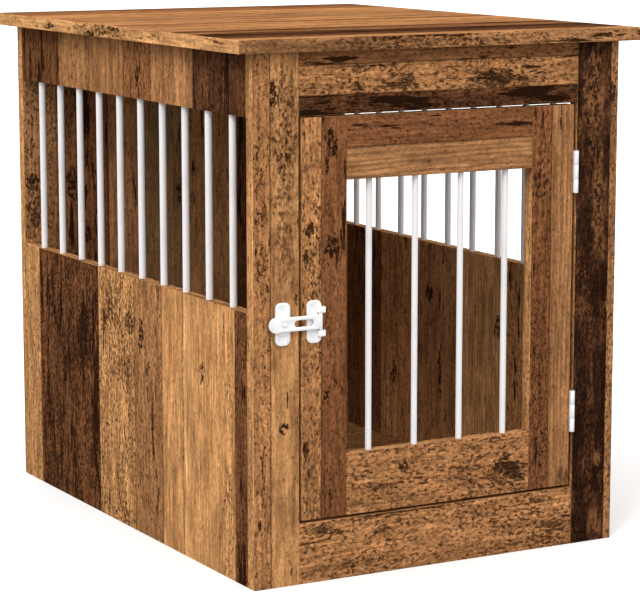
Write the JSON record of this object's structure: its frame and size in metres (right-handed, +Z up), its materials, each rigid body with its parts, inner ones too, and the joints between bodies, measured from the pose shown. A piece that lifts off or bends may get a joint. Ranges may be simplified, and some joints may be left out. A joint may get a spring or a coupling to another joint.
{
  "type": "dog crate end table",
  "caption": "End table and dog crate in one: a boxed cabinet of wood-look boards with white round bars in its side windows, a hinged barred door and a white flip latch.",
  "frame": {"origin": "centre of the table top's rectangle, at floor level", "axes": "+Z up, the door and front face -Y, +X to the right as seen from the front, +Y towards the back panel"},
  "size_m": [0.517, 0.67, 0.6],
  "materials": {
    "old_wood_board": "satin wood-look laminate on 15 mm board, old reclaimed planks",
    "white_bar": "white powder coat",
    "white_fitting": "smooth white lacquer",
    "zinc_steel": "zinc plated"
  },
  "bodies": {
    "cabinet": {"top_panel": "old_wood_board", "back_panel": "old_wood_board", "floor_panel": "old_wood_board", "left_lower_panel": "old_wood_board", "left_upper_rail": "old_wood_board", "right_lower_panel": "old_wood_board", "right_upper_rail": "old_wood_board", "frame_left_stile": "old_wood_board", "frame_right_stile": "old_wood_board", "frame_top_rail": "old_wood_board", "frame_bottom_rail": "old_wood_board", "left_side_bar_01": "white_bar", "left_side_bar_02": "white_bar", "left_side_bar_03": "white_bar", "left_side_bar_04": "white_bar", "left_side_bar_05": "white_bar", "left_side_bar_06": "white_bar", "left_side_bar_07": "white_bar", "left_side_bar_08": "white_bar", "left_side_bar_09": "white_bar", "left_side_bar_10": "white_bar", "right_side_bar_01": "white_bar", "right_side_bar_02": "white_bar", "right_side_bar_03": "white_bar", "right_side_bar_04": "white_bar", "right_side_bar_05": "white_bar", "right_side_bar_06": "white_bar", "right_side_bar_07": "white_bar", "right_side_bar_08": "white_bar", "right_side_bar_09": "white_bar", "right_side_bar_10": "white_bar", "upper_hinge_frame_leaf": "white_fitting", "upper_hinge_pin": "zinc_steel", "upper_hinge_frame_screw_1": "zinc_steel", "upper_hinge_frame_screw_2": "zinc_steel", "lower_hinge_frame_leaf": "white_fitting", "lower_hinge_pin": "zinc_steel", "lower_hinge_frame_screw_1": "zinc_steel", "lower_hinge_frame_screw_2": "zinc_steel", "latch_keeper_plate": "white_fitting"},
    "door": {"door_left_stile": "old_wood_board", "door_right_stile": "old_wood_board", "door_top_rail": "old_wood_board", "door_bottom_rail": "old_wood_board", "door_bar_01": "white_bar", "door_bar_02": "white_bar", "door_bar_03": "white_bar", "door_bar_04": "white_bar", "upper_hinge_door_leaf": "white_fitting", "upper_hinge_door_screw_1": "zinc_steel", "upper_hinge_door_screw_2": "zinc_steel", "lower_hinge_door_leaf": "white_fitting", "lower_hinge_door_screw_1": "zinc_steel", "lower_hinge_door_screw_2": "zinc_steel", "latch_door_plate": "white_fitting", "latch_pin": "zinc_steel"},
    "latch_arm": {"latch_strap": "white_fitting"}
  },
  "joints": [
    {"name": "door_hinge", "type": "hinge", "parent": "cabinet", "child": "door", "pos_m": [0.17815, -0.3249, 0], "axis": [0, 0, 1], "range_deg": [0, 170]},
    {"name": "latch_hinge", "type": "hinge", "parent": "door", "child": "latch_arm", "pos_m": [-0.1555, -0.3257, 0], "axis": [0, 0, 1], "range_deg": [0, 170]}
  ]
}
